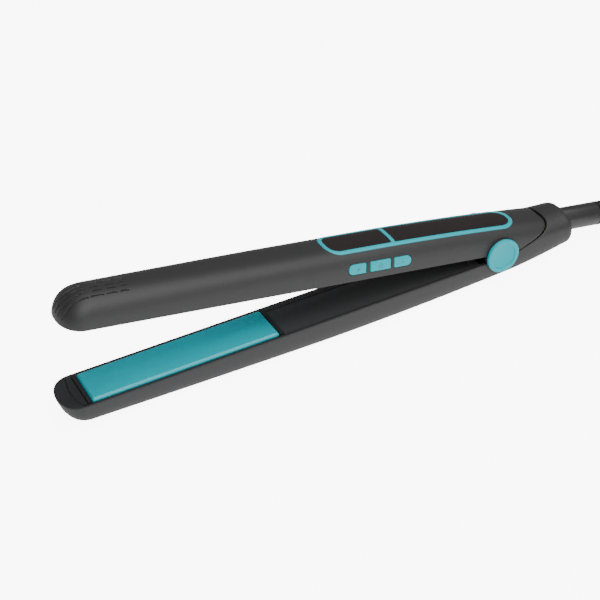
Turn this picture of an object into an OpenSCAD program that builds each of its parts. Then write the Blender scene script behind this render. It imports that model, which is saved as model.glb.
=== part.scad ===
// Hair straightener with two hinged arms, floating heater plates and a swivel cord.
// Stations run along X from the nose tip to the tail. Z = 0 is the plane in which the
// closed plates meet, and the buttons are on the -Y side. place() shifts all of this to
// the part's own frame: on the table, centred under the body.

/* [Arms] */
// Length of the body from nose tip to tail end
body_len = 308; // [306:1:326]
// Width of both arms
arm_w = 30.8; // [30.2:0.2:33]
// Highest point of the upper arm over the meeting plane
upper_h = 17.9; // [17.5:0.1:20]
// Deepest point of the lower arm under the meeting plane
lower_h = 18.7; // [18:0.1:21]
// Height of the upper arm just behind the nose
nose_h = 16.5; // [15.5:0.1:17.4]
// Depth of the lower arm just behind the nose
nose_low = 14.4; // [14:0.1:16]
// Wall of the shells
wall = 2.2; // [1.9:0.1:2.4]
// Distance between the shell rims when the arms are closed
rim_gap = 3.0; // [2.6:0.1:3.6]
// Angle between the arms when the iron lies open
open_angle = 9.8; // [7:0.1:10.4]
// How far the upper nose stands back from the lower one
nose_setback = 3; // [1:0.1:4]

/* [Plates] */
// Station where the plates begin
plate_start = 15.3; // [14:0.1:17]
// Length of a plate
plate_len = 106; // [95:1:107]
// Width of a plate
plate_w = 25; // [23:0.1:25.4]
// Thickness of a plate
plate_t = 2.6; // [2.2:0.1:3]
// Bevel along the long edges of a plate
plate_bevel = 1.1; // [0.5:0.1:1.6]
// Gap left between the closed plates
plate_gap = 0.3; // [0.3:0.1:0.8]
// How far a plate floats into its arm
plate_float = 0.8; // [0.4:0.1:0.8]

/* [Hinge] */
// Distance from the hinge axis to the tail end
hinge_to_tail = 49.4; // [48.9:0.1:50.5]
// Height of the hinge axis over the meeting plane
pivot_z = 1.4; // [1:0.1:1.6]
// Diameter of the hinge pin
pin_d = 5; // [4:0.1:5.4]
// Diameter of the round caps over the hinge
cap_d = 21.2; // [20.6:0.2:22.4]
// Height of a hinge cap
cap_h = 2.1; // [1.6:0.1:2.6]

/* [Controls] */
// Length of the trim ring on the upper arm
ring_len = 121.2; // [116:0.2:124]
// Width of the trim ring
ring_w = 20.8; // [19:0.2:22]
// Width of the ring's line
ring_line = 3.0; // [2.2:0.1:3.2]
// Length of the front window inside the ring
window_len = 35.6; // [34:0.2:44]
// Height of the buttons
button_h = 5.6; // [5:0.1:6]
// Travel of the buttons
button_travel = 0.7; // [0.4:0.1:0.7]

/* [Cord] */
// Diameter of the mains cord
cord_d = 6.5; // [6.5:0.1:7]
// Outside diameter of the swivel neck
neck_d = 13.7; // [13:0.1:14]
// Droop of the swivel axis below the level
neck_droop = 9.5; // [9:0.1:10]
// Length of the bend guard on the cord
guard_len = 46; // [40:1:50]

/* [Hidden] */

$fn = 48;
eps = 0.01;
far = 20;              // beyond the side, top and bottom of any arm, for cutting tools
fit = 0.05;            // running clearance of pins and the swivel
gap = 0.4;             // clearance between pieces that move past each other
seam = 0.6;            // open seam between the two shells
arm_r = arm_w / 2;
pivot_x = body_len - hinge_to_tail;
side_out = arm_r + 0.25;       // flat outer face of the hinge cheeks
side_in = arm_r - wall - 0.3;  // their inner face
rim = rim_gap / 2;

// Section and outline rules of the arms
corner_n = 3.4;        // squareness of the arm's section
upper_nose_n = 2.6;    // rounder section at the upper nose
upper_nose_end = 115;  // station where that has faded into the arm's own section
tail_n = 2.4;          // rounder section at the tail
nose_n = 2.2;          // roundness of the noses
nose_plan = 12;        // length of the rounding seen from above
nose_side_low = 15;    // length of the lower nose's rounding seen from the side
nose_side_up = 18;     // and of the upper nose's
belly_up = 185;        // station of the upper arm's highest point
belly_low = 155;       // station of the lower arm's deepest point
flat_cut = 0.25;       // how much of the belly is planed flat to rest on
tail_w = 28;           // width at the tail's end
tail_top = 8.6;        // top and bottom of the tail's end
tail_low = 12.2;
tail_round = 4;        // rounding of the tail's end edge
end_scale = 0.86;      // how far that rounding draws the end in
arm_end = pivot_x + 39.5;
arm_end_h = 14.2;      // height of the upper arm at its rear end
collar_x = pivot_x + 28;
collar_top = 9.4;      // top of the tail where the upper arm ends
nose_lip = 7.5;        // solid lip of the nose
rest_z = lower_h - flat_cut;

function clamp(v, lo, hi) = min(max(v, lo), hi);
function round_end(u, p) = pow(1 - pow(1 - clamp(u, 0, 1), p), 1 / p);
function swell(x, x0, x1, p) = pow(clamp((x - x0) / (x1 - x0), 0, 1), p);
function half_w(x) = arm_r - (arm_r - tail_w / 2) * swell(x, body_len - 30, body_len, 1.6);
function up_h(x) = upper_h - (upper_h - nose_h) * swell(x, belly_up, 0, 1.35)
    - (upper_h - arm_end_h) * swell(x, belly_up, arm_end, 2);
function low_h(x) = lower_h - (lower_h - nose_low) * swell(x, belly_low, 0, 1.3)
    - (lower_h - tail_low) * swell(x, belly_low, body_len, 2.2);
function tail_h(x) = collar_top + (tail_top - collar_top) * swell(x, collar_x, body_len, 0.9);
function squareness(x) = corner_n + (tail_n - corner_n) * swell(x, pivot_x + 10, body_len - 6, 1);
function upper_squareness(x) = upper_nose_n + (corner_n - upper_nose_n) * swell(x, 0, upper_nose_end, 1);
function signed_pow(v, p) = sign(v) * pow(abs(v), p);

// One ring of points around the section at station x
ring_n = 12;           // points on half a section
function section_ring(x, w, top, low, n) = [for (k = [0 : 2 * ring_n - 1])
    let (a = 180 * k / ring_n, s = signed_pow(sin(a), 2 / n))
    [x, w * signed_pow(cos(a), 2 / n), s * (s > 0 ? top : low)]];

// The same over the upper half alone, closed by its straight lower edge
function arch_ring(x, w, top, n) = [for (k = [0 : ring_n])
    let (a = 180 * k / ring_n)
    [x, w * signed_pow(cos(a), 2 / n), top * signed_pow(sin(a), 2 / n)]];

// Closed skin over a list of rings that all have the same number of points
module skin(rings) {
    n = len(rings[0]);
    last = len(rings) - 1;
    polyhedron(
        points = [for (r = rings) each r],
        faces = concat(
            [[for (j = [0 : n - 1]) j]],
            [for (i = [0 : last - 1], j = [0 : n - 1]) let (k = (j + 1) % n)
                each [[i * n + j, (i + 1) * n + j, (i + 1) * n + k],
                      [i * n + j, (i + 1) * n + k, i * n + k]]],
            [[for (j = [n - 1 : -1 : 0]) last * n + j]]));
}

// Stations that crowd together at the nose
nose_steps = 7;
body_steps = 14;
low_steps = 18;
end_steps = 4;         // across the rounding of the tail's end
first_u = 0.015;
deck_top = 2;          // the lower form's nose reaches this far over the meeting plane
function nose_u(k) = first_u + (1 - first_u) * pow(k / nose_steps, 2);
function nose_station(k, x0, len_n) = x0 + len_n * (nose_u(k) - first_u);
function nose_half_w(x, x0, inset) =
    (half_w(x) - inset) * round_end((x - x0) / (nose_plan - inset) + first_u, nose_n);

// Solid form of the upper arm, shrunk by inset, from station x0
module upper_form(inset, x0) {
    side = nose_side_up - inset;
    skin(concat(
        [for (k = [0 : nose_steps]) let (x = nose_station(k, x0, side))
            arch_ring(x, nose_half_w(x, x0, inset), (up_h(x) - inset) * round_end(nose_u(k), nose_n),
                upper_squareness(x))],
        [for (k = [1 : body_steps]) let (x = x0 + side + (arm_end - x0 - side) * k / body_steps)
            arch_ring(x, half_w(x) - inset, up_h(x) - inset, upper_squareness(x))]));
}

// Solid form of the lower arm with its tail, shrunk by inset, up to station x1
module lower_form(inset, x0, x1, round) {
    side = nose_side_low - inset;
    skin(concat(
        [for (k = [0 : nose_steps]) let (x = nose_station(k, x0, side))
            section_ring(x, nose_half_w(x, x0, inset), deck_top,
                (low_h(x) - inset) * round_end(nose_u(k), nose_n), squareness(x))],
        [for (k = [1 : low_steps]) let (x = x0 + side + (x1 - round - x0 - side) * k / low_steps)
            section_ring(x, half_w(x) - inset, tail_h(x) - inset, low_h(x) - inset, squareness(x))],
        round == 0 ? [] :
        [for (k = [1 : end_steps])
            let (u = k / end_steps, x = x1 - round * (1 - u),
                e = end_scale + (1 - end_scale) * round_end(1 - u, nose_n))
            section_ring(x, e * half_w(x), e * tail_h(x), e * low_h(x), squareness(x))]));
}

// The seam's course seen from the side, measured from the hinge axis
seam_course = [[13, -1.5], [17, -0.3], [21, 0.8], [25, 2.1], [28.5, 3.5],
    [31.5, 5.1], [34.2, 7], [36.2, 9], [37.4, 11]];
seam_start = 8;        // behind the hinge axis, where the rim turns into the seam
function seam_curve(shift) = [for (p = seam_course) [p[0] - shift, p[1] + shift]];
function turned(p, a) = [p[0] * cos(a) - p[1] * sin(a), p[0] * sin(a) + p[1] * cos(a)];
// Region of the upper arm seen from the side: over the rim and ahead of the tail's seam.
// turn gives the same seam in the frame of the closed upper arm.
module seam_region(shift, z, turn) {
    rotate([90, 0, 0]) translate([pivot_x, pivot_z, -far]) linear_extrude(2 * far) polygon(concat(
        [[-pivot_x - 5, z - pivot_z], [seam_start, z - pivot_z]],
        [for (p = seam_curve(shift)) turned(p, turn)],
        [[15, 2 * far], [-pivot_x - 5, 2 * far]]));
}

// Placing
ball_x = body_len - 8;
ball_z = 0.8;
ball_r = 4.6;
neck_start = 7.2;      // along the swivel axis from the ball's centre
neck_len = 26.2;
neck_end = neck_start + neck_len;
neck_tip_x = ball_x + neck_end * cos(neck_droop) + neck_d / 2 * sin(neck_droop);
origin_x = neck_tip_x / 2;
module place() {
    translate([-origin_x, 0, rest_z]) children();
}
module open_arm() {
    place() translate([pivot_x, 0, pivot_z]) rotate([0, open_angle, 0])
        translate([-pivot_x, 0, -pivot_z]) children();
}
module swivel_place() {
    place() translate([ball_x, 0, ball_z]) rotate([0, 90 + neck_droop, 0]) children();
}
// A round bar along Y between two faces
module bar_y(x, z, r, y0, y1) {
    translate([x, y1, z]) rotate([90, 0, 0]) cylinder(r = r, h = y1 - y0);
}
module block(x0, x1, y0, y1, z0, z1) {
    translate([x0, y0, z0]) cube([x1 - x0, y1 - y0, z1 - z0]);
}
module both_sides() {
    children();
    mirror([0, 1, 0]) children();
}

// What both arms hold, drawn with Z into the arm; the lower arm mirrors it
plate_end = plate_start + plate_len;
plate_face = plate_gap / 2;
plate_back = plate_face + plate_t;
leg_y = 7.6;           // inner face of the plate's two legs
leg_t = 1.4;
leg_end = plate_back + 3.9;
heater_t = 3.2;
pad_t = 1.5;
tray_floor = leg_end + pad_t;
tray_t = 1.6;
tray_back = tray_floor + tray_t;
tray_in = leg_y + leg_t + 0.6;
tray_out = tray_in + 1.6;
tray_slant = 1.2;      // slant of the tray's back corners
end_bar = 2;           // thickness of the carrier's two end bars
end_gap = 0.4;
carrier_x0 = plate_start - end_gap - end_bar;
carrier_x1 = plate_end + end_gap + end_bar;
bar_half = plate_w / 2 + 0.2;
foot_half = 9;         // narrower foot of the bars, clear of the shell's round corners
bar_deep = 4;
bar_face = rim - 0.6;  // the end bars stand a little over the rim
screw_at = [plate_start + 16, plate_end - 16];
screw_r = 1.25;
head_r = 2.3;
head_depth = 1;
screw_len = 4.6;
cover_x0 = carrier_x1 + 0.4;
cover_x1 = pivot_x - 12;
cover_half = arm_r - wall - 0.35;
cover_face = rim + 1.4;
cover_t = 1.4;
lip_t = 0.9;
cover_posts = [cover_x0 + 16, cover_x1 - 12];
post_y = 8.5;
insert_half = arm_r - wall - 0.3;
insert_t = 2.6;
plan_r = 38;           // radius of the crescent's front edge

module plate_body() {
    x = plate_len;
    half = plate_w / 2;
    translate([plate_start, 0, 0]) rotate([90, 0, 90]) linear_extrude(x)
        polygon([[-half + plate_bevel, plate_face], [half - plate_bevel, plate_face],
            [half, plate_face + plate_bevel], [half, plate_back], [-half, plate_back],
            [-half, plate_face + plate_bevel]]);
    both_sides() block(plate_start + 2, plate_end - 2, leg_y, leg_y + leg_t, plate_back - eps, leg_end);
}
module heater_body() {
    block(plate_start + 6, plate_end - 6, -leg_y + 0.2, leg_y - 0.2, plate_back, plate_back + heater_t);
    both_sides() block(plate_end - 6 - eps, plate_end - 1, 2.2, 4.4, plate_back + 1.2, plate_back + 1.6);
}
module pads_body() {
    for (x = [plate_start + 8, plate_end - 8 - 6]) both_sides()
        block(x, x + 6, leg_y - 0.5, leg_y + leg_t, leg_end, tray_floor);
}
module carrier_body() {
    difference() {
        union() {
            block(carrier_x0, carrier_x1, -foot_half, foot_half, tray_floor, tray_back);
            translate([plate_start + 2, 0, 0]) rotate([90, 0, 90]) linear_extrude(plate_len - 2)
                polygon([[-tray_out, tray_floor], [tray_out, tray_floor],
                    [tray_out - tray_slant, tray_back], [tray_slant - tray_out, tray_back]]);
            both_sides() block(plate_start + 2, plate_end, tray_in, tray_out,
                plate_back + plate_float + 0.3, tray_floor + eps);
            for (x = [carrier_x0, carrier_x1 - end_bar]) {
                block(x, x + end_bar, -bar_half, bar_half, bar_face, bar_deep);
                block(x, x + end_bar, -foot_half, foot_half, bar_face, tray_back);
            }
        }
        for (x = screw_at) translate([x, 0, tray_floor - 1]) {
            cylinder(r = screw_r + 0.15, h = tray_t + 2);
            cylinder(r = head_r + 0.15, h = 1 + head_depth);
        }
    }
}
module screws_body() {
    for (x = screw_at) translate([x, 0, tray_floor + 0.05]) {
        cylinder(r = head_r, h = head_depth - 0.05);
        cylinder(r = screw_r, h = screw_len);
    }
}
module cover_body() {
    difference() {
        block(cover_x0, cover_x1, -cover_half, cover_half, rim + 0.5, cover_face + cover_t);
        block(cover_x0 - 1, cover_x1 + 1, -cover_half + lip_t, cover_half - lip_t, 0, cover_face);
    }
}
// Crescent that closes the nose between the shell's lip and the carrier
module insert_outline(grow) {
    intersection() {
        translate([plan_r + nose_lip + 0.3 - grow, 0]) circle(r = plan_r);
        translate([0, -insert_half - grow]) square([carrier_x0 - 0.25 + grow, 2 * (insert_half + grow)]);
    }
}
module insert_body() {
    translate([0, 0, rim]) linear_extrude(insert_t) insert_outline(0);
}
// Bosses that carry the carrier and the cover, from depth z0 up into the shell
module arm_posts(deep) {
    difference() {
        union() {
            for (x = screw_at) translate([x, 0, tray_back]) cylinder(r = 3.2, h = deep - tray_back);
            for (x = cover_posts) translate([x, post_y, cover_face + cover_t])
                cylinder(r = 2.6, h = deep - cover_face - cover_t);
        }
        for (x = screw_at) translate([x, 0, tray_back - 1]) cylinder(r = screw_r + 0.05, h = 5.2);
    }
}

// Lower arm and tail, the body that lies on the table
module lower_shell() {
    color("#4c4c4e") place() difference() {
        union() {
            difference() {
                difference() {
                    lower_form(0, 0, body_len, tail_round);
                    block(-1, body_len, -far, far, -2 * far, -rest_z);
                }
                difference() {
                    lower_form(wall, wall, body_len - 4, 0);
                    block(-1, nose_lip, -far, far, -far, 0);
                }
                seam_region(0, -rim, 0);
            }
            both_sides() bar_y(pivot_x, pivot_z, cap_d / 2 - 1, side_in, side_out);
            intersection() {
                union() {
                    mirror([0, 0, 1]) arm_posts(far);
                    both_sides() translate([ball_x, bolt_y, -far])
                        cylinder(r = boss_r, h = far + ball_z - cradle_drop);
                }
                lower_form(wall - 0.3, wall - 0.3, body_len - 3, 0);
            }
        }
        bar_y(pivot_x, pivot_z, pin_d / 2 + fit / 2, -far, far);
        mirror([0, 0, 1]) translate([0, 0, rim - 1]) linear_extrude(1 + insert_t) insert_outline(0.2);
        translate([ball_x, 0, ball_z]) rotate([0, 90 + neck_droop, 0]) {
            cylinder(r = stem_r + gap, h = far);
            translate([0, 0, neck_start - gap]) cylinder(r = neck_d / 2 + gap, h = far);
        }
        both_sides() translate([ball_x, bolt_y, ball_z - cradle_drop - 4])
            cylinder(r = bolt_r + 0.05, h = 5);
    }
}
module lower_inner_cover() {
    color("#2e2e30") place() mirror([0, 0, 1]) cover_body();
}
module lower_plate_carrier() {
    color("#232324") place() mirror([0, 0, 1]) carrier_body();
}
module lower_carrier_screws() {
    color("#9a9a9e") place() mirror([0, 0, 1]) screws_body();
}
module lower_plate_pads() {
    color("#b5482f") place() mirror([0, 0, 1]) pads_body();
}
module lower_nose_insert() {
    color("#3a3a3c") place() mirror([0, 0, 1]) insert_body();
}
module lower_plate() {
    color("#42b4c2") place() mirror([0, 0, 1]) plate_body();
}
module lower_heater() {
    color("#c9b48a") place() mirror([0, 0, 1]) heater_body();
}

// Hinge
spring_r = 4.4;
wire_r = 0.6;
spring_turns = 4;
spring_half = 6;
leg_reach = 17;
ear_in = side_in - gap - 2.3;
ear_r = 7;
function spring_point(t) = let (a = 360 * spring_turns * t)
    [pivot_x + spring_r * sin(a), spring_half * (2 * t - 1), pivot_z - spring_r * cos(a)];
spring_route = concat(
    [[pivot_x - leg_reach, -spring_half, -cover_face + wire_r + 0.2]],
    [for (k = [0 : 14 * spring_turns]) spring_point(k / (14 * spring_turns))],
    [[pivot_x - leg_reach, spring_half, pivot_z + leg_reach * sin(open_angle) + 0.5]]);

// Tube of n sides swept along a route; side points to where each ring starts
function unit(v) = v / norm(v);
function heading(p, i) = unit(p[min(i + 1, len(p) - 1)] - p[max(i - 1, 0)]);
function tube_ring(c, t, r, n, side) = let (u = unit(cross(side, t)), v = cross(t, u))
    [for (j = [0 : n - 1]) c + r * cos(360 * j / n) * u + r * sin(360 * j / n) * v];
module tube(route, r, n, side) {
    skin([for (i = [0 : len(route) - 1]) tube_ring(route[i], heading(route, i), r, n, side)]);
}

module hinge_pin() {
    color("#b8b8bc") place() bar_y(pivot_x, pivot_z, pin_d / 2, -side_out, side_out);
}
module hinge_spring() {
    color("#8d8d92") place() tube(spring_route, wire_r, 6, [0, 1, 0]);
}
// Dished disc: a raised rim round a shallow bowl
dish_r = 26;
dish_floor = 0.7;      // thickness at the middle of the bowl
cap_edge = 0.6;        // step round the cap's outer edge
module hinge_cap(s) {
    color("#4bf0fb") place() translate([pivot_x, s * side_out, pivot_z]) rotate([-90 * s, 0, 0])
        difference() {
            union() {
                cylinder(r = cap_d / 2, h = cap_h - cap_edge);
                cylinder(r = cap_d / 2 - cap_edge, h = cap_h);
            }
            translate([0, 0, dish_r + dish_floor]) sphere(r = dish_r, $fn = 96);
        }
}
module hinge_cap_near() {
    hinge_cap(-1);
}
module hinge_cap_far() {
    hinge_cap(1);
}

// Swivel
stem_r = 3.4;
cradle_half = 5.5;
cradle_wing = 10.4;
cradle_drop = 1.8;
clamp_r = 5.6;
bolt_y = cradle_wing - 1.6;
bolt_r = 0.85;
boss_r = 2.2;          // posts under the cradle
module clamp_half(up) {
    z0 = up > 0 ? 0.05 : -cradle_drop;
    z1 = up > 0 ? cradle_drop : -0.05;
    place() translate([ball_x, 0, ball_z]) difference() {
        union() {
            intersection() {
                rotate([0, 90, 0]) translate([0, 0, -cradle_half])
                    cylinder(r = clamp_r, h = 1.5 * cradle_half);
                translate([0, 0, up * 10 + up * 0.05]) cube([40, 40, 20], center = true);
            }
            block(-3, 3, -cradle_wing, cradle_wing, z0, z1);
        }
        sphere(r = ball_r + fit, $fn = 96);
        rotate([0, 90 + neck_droop, 0]) cylinder(r = stem_r + gap, h = 20);
        rotate([0, 90 + neck_droop, 0]) translate([0, 0, -20]) cylinder(r = stub_r + gap, h = 20);
        both_sides() translate([0, bolt_y, -10]) cylinder(r = bolt_r + 0.1, h = 20);
    }
}
module swivel_cradle() {
    color("#d9d6cf") clamp_half(-1);
}
module swivel_cover() {
    color("#d9d6cf") clamp_half(1);
}
module swivel_screws() {
    color("#9a9a9e") place() both_sides() translate([ball_x, bolt_y, ball_z]) {
        translate([0, 0, cradle_drop]) cylinder(r = 1.5, h = 1);
        translate([0, 0, -cradle_drop - 3.5]) cylinder(r = bolt_r, h = 2 * cradle_drop + 3.6);
    }
}
stub_r = 2.6;
stub_len = 15;
ring_at = [9, 12.5];
module swivel_stem() {
    color("#3f3f41") swivel_place() {
        sphere(r = ball_r, $fn = 96);
        cylinder(r = stem_r, h = neck_start + 1);
        translate([0, 0, -stub_len]) cylinder(r = stub_r, h = stub_len);
        translate([0, 0, neck_start]) cylinder(r = neck_d / 2, h = neck_len);
    }
}
module swivel_rings() {
    color("#c79a3a") swivel_place() for (s = ring_at) translate([0, 0, -s - 1.2]) difference() {
        cylinder(r = stub_r + 0.7, h = 1.6);
        translate([0, 0, -1]) cylinder(r = stub_r, h = 4);
    }
}
// Two leaf brushes that wipe the rings from below
module contact_brushes() {
    color("#c79a3a") place() translate([ball_x, 0, ball_z]) for (s = ring_at) {
        z_ring = s * sin(neck_droop) - stub_r - 0.7 - 0.35;
        block(-s - 0.5, -s + 0.5, -2.5, 2.5, z_ring - 0.4, z_ring);
        block(-s - 0.5, -s + 0.5, -2.5, -2.1, -8.2, z_ring - 0.39);
    }
    color("#c9b48a") place() block(ball_x - 15.5, ball_x - 6, -5, 5, ball_z - 9.4, ball_z - 8.2);
}
// Bend guard: a tapered sleeve whose rings are joined by staggered bridges
guard_r0 = 6.95;
guard_r1 = 4.9;
guard_core = cord_d / 2 + 0.9;
guard_pitch = 4;
guard_rings = floor((guard_len - 6) / guard_pitch);
function guard_r(s) = guard_r0 + (guard_r1 - guard_r0) * s / guard_len;
module cord_guard() {
    color("#1c1c1d") swivel_place() translate([0, 0, neck_end]) {
        cylinder(r = guard_core, h = guard_len);
        cylinder(r1 = guard_r0, r2 = guard_r(2), h = 2);
        for (k = [1 : guard_rings]) translate([0, 0, k * guard_pitch]) {
            cylinder(r = guard_r(k * guard_pitch), h = 2);
            rotate([0, 0, 90 * (k % 2)]) translate([-1.5, -guard_r(k * guard_pitch) + 0.3, -2.1])
                cube([3, 2 * guard_r(k * guard_pitch) - 0.6, 2.2]);
        }
        translate([0, 0, guard_len - 2]) cylinder(r = guard_r1, h = 2);
    }
}

// Leads inside the lower arm, from the brushes to the heater, with the fuse on one of them
lead_r = 1;
lead_y = 3.3;
module lower_heater_leads() {
    color("#b03a2e") place() for (s = [-1, 1])
        tube([[ball_x - 16, lead_y * s, -9.4], [pivot_x + 20, lead_y * s, -9.6], [pivot_x, lead_y * s, -10],
            [pivot_x - 30, lead_y * s, -10], [cover_x0 + 30, lead_y * s, -10],
            [cover_x0 + 24, lead_y * s, -9]], lead_r, 8, [0, 0, 1]);
}
module thermal_fuse() {
    color("#d8d8da") place() translate([cover_x0 + 12, lead_y, -9]) rotate([0, 90, 0])
        cylinder(r = 2, h = 11.6);
    color("#b03a2e") place() for (s = [-1, 1])
        tube([[cover_x0 + (s > 0 ? 11.9 : 23.6), lead_y * s, -9], [cover_x0 + 6, lead_y * s, -8.2],
            [cover_x0 + 1, lead_y * s, -5.4]], 0.6, 8, [0, 0, 1]);
}

// Upper arm
ring_x1 = pivot_x + 13;
ring_x0 = ring_x1 - ring_len;
divider_x = ring_x0 + ring_line + window_len;
inlay_depth = 1.7;
inlay_low = 11.5;
ring_front_r = 8;      // corner radii of the ring's outer edge
ring_rear_r = 10;
// Outline of the ring's edge, moved inwards by shrink
module ring_corner(x, r, shrink) {
    for (s = [-1, 1]) translate([x, s * (ring_w / 2 - r)]) circle(r = r - shrink);
}
module stadium(shrink) {
    hull() {
        ring_corner(ring_x0 + ring_front_r, ring_front_r, shrink);
        ring_corner(ring_x1 - ring_rear_r, ring_rear_r, shrink);
    }
}
module inlay(depth, proud) {
    difference() {
        intersection() {
            translate([0, 0, inlay_low]) linear_extrude(far) children();
            upper_form(-proud, nose_setback);
        }
        upper_form(depth, nose_setback);
    }
}
button_z = 8.6;
// Start of each button before the hinge, and its length
buttons = [[98.25, 10.6], [85.15, 12.6], [70.45, 10.6]];
button_gap = 0.3;
button_proud = 0.4;
// Outline of a button in the XZ plane; end is which end is round: -1, 0 or 1
module button_outline(i, grow) {
    l = buttons[i][1];
    r = button_h / 2;
    translate([pivot_x - buttons[i][0], 0]) {
        if (i == 0) translate([r, 0]) circle(r = r + grow);
        if (i == 2) translate([l - r, 0]) circle(r = r + grow);
        translate([i == 0 ? r : -grow, -r - grow])
            square([l + 2 * grow - (i == 1 ? 0 : r + grow), 2 * (r + grow)]);
    }
}
module button_bar(i, grow, y0, y1) {
    translate([0, y1, button_z]) rotate([90, 0, 0]) linear_extrude(y1 - y0) button_outline(i, grow);
}
window_hole = [divider_x - 31, divider_x - 9, 5];
module upper_shell() {
    color("#4c4c4e") open_arm() difference() {
        union() {
            difference() {
                intersection() {
                    upper_form(0, nose_setback);
                    seam_region(seam, rim, open_angle);
                }
                difference() {
                    upper_form(wall, nose_setback + wall);
                    block(-1, nose_lip, -far, far, 0, far);
                }
                inlay_pocket();
                both_sides() bar_y(pivot_x, pivot_z, cap_d / 2 - 1 + gap, side_in - gap, side_out + 5);
            }
            intersection() {
                union() {
                    arm_posts(far);
                    both_sides() block(pivot_x - 5, pivot_x + 5, ear_in, side_in - gap, pivot_z, far);
                    for (x = board_ribs)
                        block(x, x + 4, board_y - 1.2, board_y + board_t + 1.2, board_z1 - 1.4, far);
                }
                upper_form(wall - 0.2, nose_setback + wall - 0.2);
            }
            both_sides() bar_y(pivot_x, pivot_z, ear_r, ear_in, side_in - gap);
        }
        bar_y(pivot_x, pivot_z, pin_d / 2 + fit, -far, far);
        translate([0, 0, rim - 1]) linear_extrude(1 + insert_t) insert_outline(0.2);
        for (i = [0 : 2]) {
            button_bar(i, button_gap, -far, board_y);
            button_bar(i, 1, -button_back - 0.3, board_y);
        }
        block(window_hole[0], window_hole[1], -window_hole[2], window_hole[2], 10, far);
        for (x = board_ribs)
            block(x - 1, x + 5, board_y - 0.05, board_y + board_t + 0.05, 0, board_z1 + 0.05);
    }
}
module inlay_pocket() {
    difference() {
        translate([0, 0, inlay_low]) linear_extrude(far) stadium(-0.05);
        upper_form(inlay_depth, nose_setback);
    }
}
module trim_ring() {
    color("#4bf0fb") open_arm() inlay(inlay_depth - 0.05, 0.25) {
        difference() {
            stadium(0);
            stadium(ring_line);
        }
        translate([divider_x, -ring_w / 2 + 1]) square([ring_line, ring_w - 2]);
    }
}
module display_window() {
    color("#2b2827") open_arm() inlay(1.3, -0.1) intersection() {
        stadium(ring_line + 0.05);
        translate([0, -far]) square([divider_x - 0.05, 2 * far]);
    }
}
module rear_panel() {
    color("#2b2827") open_arm() inlay(1.3, -0.1) intersection() {
        stadium(ring_line + 0.05);
        translate([divider_x + ring_line + 0.05, -far]) square([ring_len, 2 * far]);
    }
}
board_t = 1.2;
board_y = -9;
board_x0 = pivot_x - 107;
board_x1 = pivot_x - 44;
board_z0 = 5;
board_z1 = 13.4;
board_ribs = [board_x0 + 2, board_x1 - 6];
button_back = side_in - 0.6;
flange_t = 0.5;        // flange that keeps a button in
switch_deep = board_y + button_back - flange_t - button_travel - gap;
module control_board() {
    color("#1f5d3a") open_arm() block(board_x0, board_x1, board_y, board_y + board_t, board_z0, board_z1);
}
module tact_switches() {
    color("#cfcfd2") open_arm() for (b = buttons) {
        x = pivot_x - b[0] + b[1] / 2;
        block(x - 2, x + 2, board_y - 1.1, board_y, button_z - 2, button_z + 2);
        bar_y(x, button_z, 1, board_y - switch_deep + eps, board_y - 1.09);
    }
}
module display_module() {
    color("#161616") open_arm() {
        block(window_hole[0] - 1, window_hole[1] + 1, -6, 6, 11.5, up_h(pivot_x - 100) - wall - 1.1);
        block(window_hole[0] + 0.3, window_hole[1] - 0.3, -window_hole[2] + 0.3, window_hole[2] - 0.3,
            11.5, up_h(pivot_x - 100) - 2.1);
    }
}
module push_button(i) {
    color("#4bf0fb") open_arm() {
        intersection() {
            button_bar(i, 0, -arm_r - 1, -button_back);
            upper_form(-button_proud, nose_setback);
        }
        button_bar(i, 0.7, -button_back, -button_back + flange_t);
    }
}
module plus_button() {
    push_button(0);
}
module power_button() {
    push_button(1);
}
module minus_button() {
    push_button(2);
}
module upper_inner_cover() {
    color("#2e2e30") open_arm() cover_body();
}
module upper_plate_carrier() {
    color("#232324") open_arm() carrier_body();
}
module upper_carrier_screws() {
    color("#9a9a9e") open_arm() screws_body();
}
module upper_plate_pads() {
    color("#b5482f") open_arm() pads_body();
}
module upper_nose_insert() {
    color("#3a3a3c") open_arm() insert_body();
}
module upper_plate() {
    color("#42b4c2") open_arm() plate_body();
}
module upper_heater() {
    color("#c9b48a") open_arm() heater_body();
}
module upper_heater_leads() {
    color("#b03a2e") open_arm() for (s = [-1, 1])
        tube([[pivot_x - 46, 2.6 * s, 8], [cover_x0 + 16, 2.6 * s, 8], [cover_x0 + 6, 2.6 * s, 7.4],
            [cover_x0 + 1, 2.6 * s, 5.4]], lead_r, 8, [0, 0, 1]);
}

// Mains cord: laid from the bend guard along the table to an oval hank, and on to the plug.
// These points and places are in the part's own frame.
cord_r = cord_d / 2;
tie_t = 0.8;
hank_x = 302;
hank_y = -13.2;
hank_half = 26;        // half the length of its straight runs
hank_in = 17.1;
hank_out = 30.3;
hank_top = 27;
lead_route = [[211.8, 0, 6.1], [217, 0, 5.3], [224, 0.4, 4.6], [232, 1.8, 4.2], [240, 4.2, 4.1],
    [246, 6.8, 4.1], [251, 8.8, 4.1]];
module cord_lead() {
    color("#1a1a1b") tube(lead_route, cord_r, 8, [0, 0, 1]);
}
module oval(r) {
    hull() for (x = [-hank_half, hank_half]) translate([x, 0]) circle(r = r);
}
module cord_hank() {
    color("#1a1a1b") translate([hank_x, hank_y, tie_t]) linear_extrude(hank_top - tie_t) difference() {
        oval(hank_out);
        oval(hank_in);
    }
}
plug_x = 228;
plug_y = -27.4;
plug_z = 6.1;
end_route = [[251, -35.8, 4.4], [247, -33.2, 4.8], [242, -30.3, 5.4], [237, -28.4, 5.9],
    [232.5, -27.5, 6.1], [228.2, -27.4, 6.1]];
module cord_end() {
    color("#1a1a1b") tube(end_route, cord_r, 8, [0, 0, 1]);
}
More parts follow.
